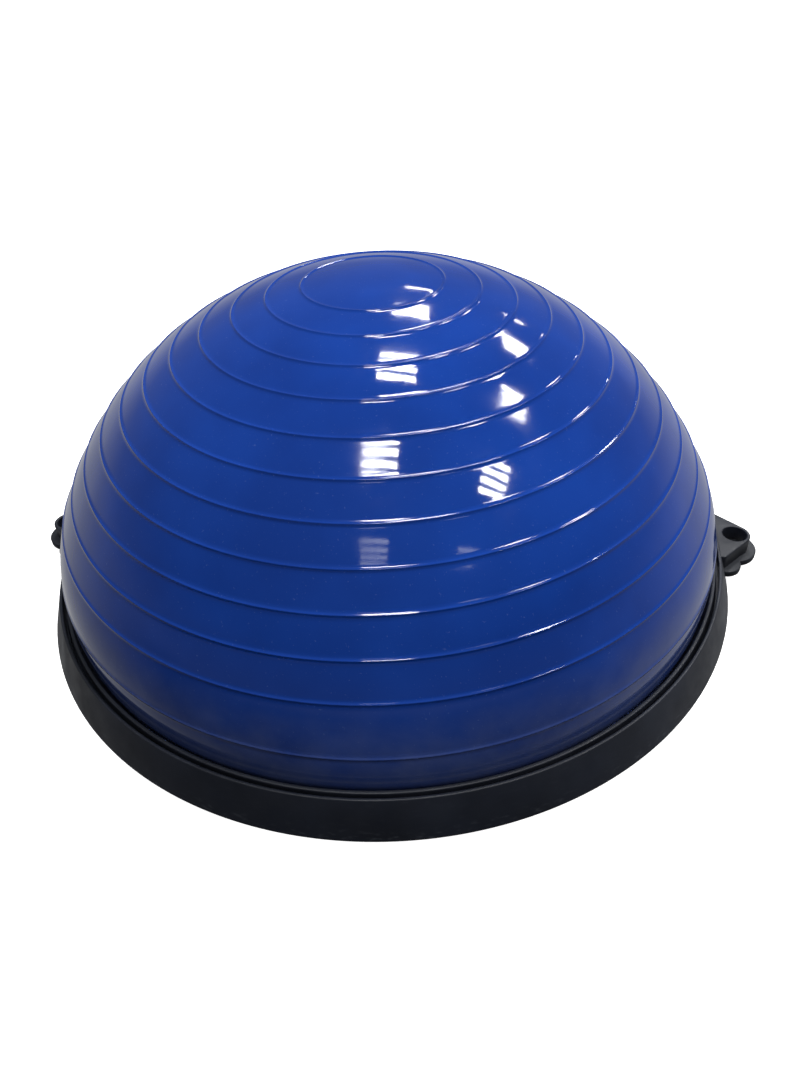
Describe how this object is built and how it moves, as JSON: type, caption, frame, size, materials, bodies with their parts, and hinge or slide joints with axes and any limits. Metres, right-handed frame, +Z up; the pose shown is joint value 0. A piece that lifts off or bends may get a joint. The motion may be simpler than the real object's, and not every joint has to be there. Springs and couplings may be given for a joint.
{
  "type": "balance dome trainer",
  "caption": "Air-filled ribbed dome clamped to a flat round platform with rubber feet and two strap eyes, for standing balance exercise on either side.",
  "frame": {"origin": "centre of the base, on the floor plane that the rubber feet stand on", "axes": "+Z up through the top of the dome; the two strap eyes lie on the X axis"},
  "size_m": [0.645, 0.59, 0.258],
  "materials": {
    "dome_pvc": "glossy moulded soft PVC with raised ribs",
    "ring_plastic": "satin injection-moulded polypropylene, near black",
    "tray_plastic": "fine-textured injection-moulded polypropylene, near black",
    "foot_rubber": "matt moulded rubber",
    "seal_rubber": "matt rubber",
    "valve_plastic": "smooth natural-white plastic",
    "zinc_steel": "zinc-plated steel"
  },
  "bodies": {
    "platform": {"base_tray": "tray_plastic", "bead_seal": "seal_rubber", "clamp_ring": "ring_plastic", "clamp_screws": "zinc_steel", "dome_shell": "dome_pvc", "ear_screws": "zinc_steel", "foot_1": "foot_rubber", "foot_2": "foot_rubber", "foot_3": "foot_rubber", "foot_4": "foot_rubber", "foot_5": "foot_rubber", "foot_6": "foot_rubber", "foot_7": "foot_rubber", "foot_8": "foot_rubber", "rim_ring": "ring_plastic", "rim_screws": "zinc_steel", "valve_nut": "valve_plastic", "valve_seat": "valve_plastic", "valve_washer": "seal_rubber"},
    "plug": {"valve_plug": "valve_plastic", "plug_seal": "seal_rubber"}
  },
  "joints": [
    {"name": "valve_plug_pull", "type": "slide", "parent": "platform", "child": "plug", "axis": [0, 0, -1], "range_m": [0, 0.016]}
  ]
}
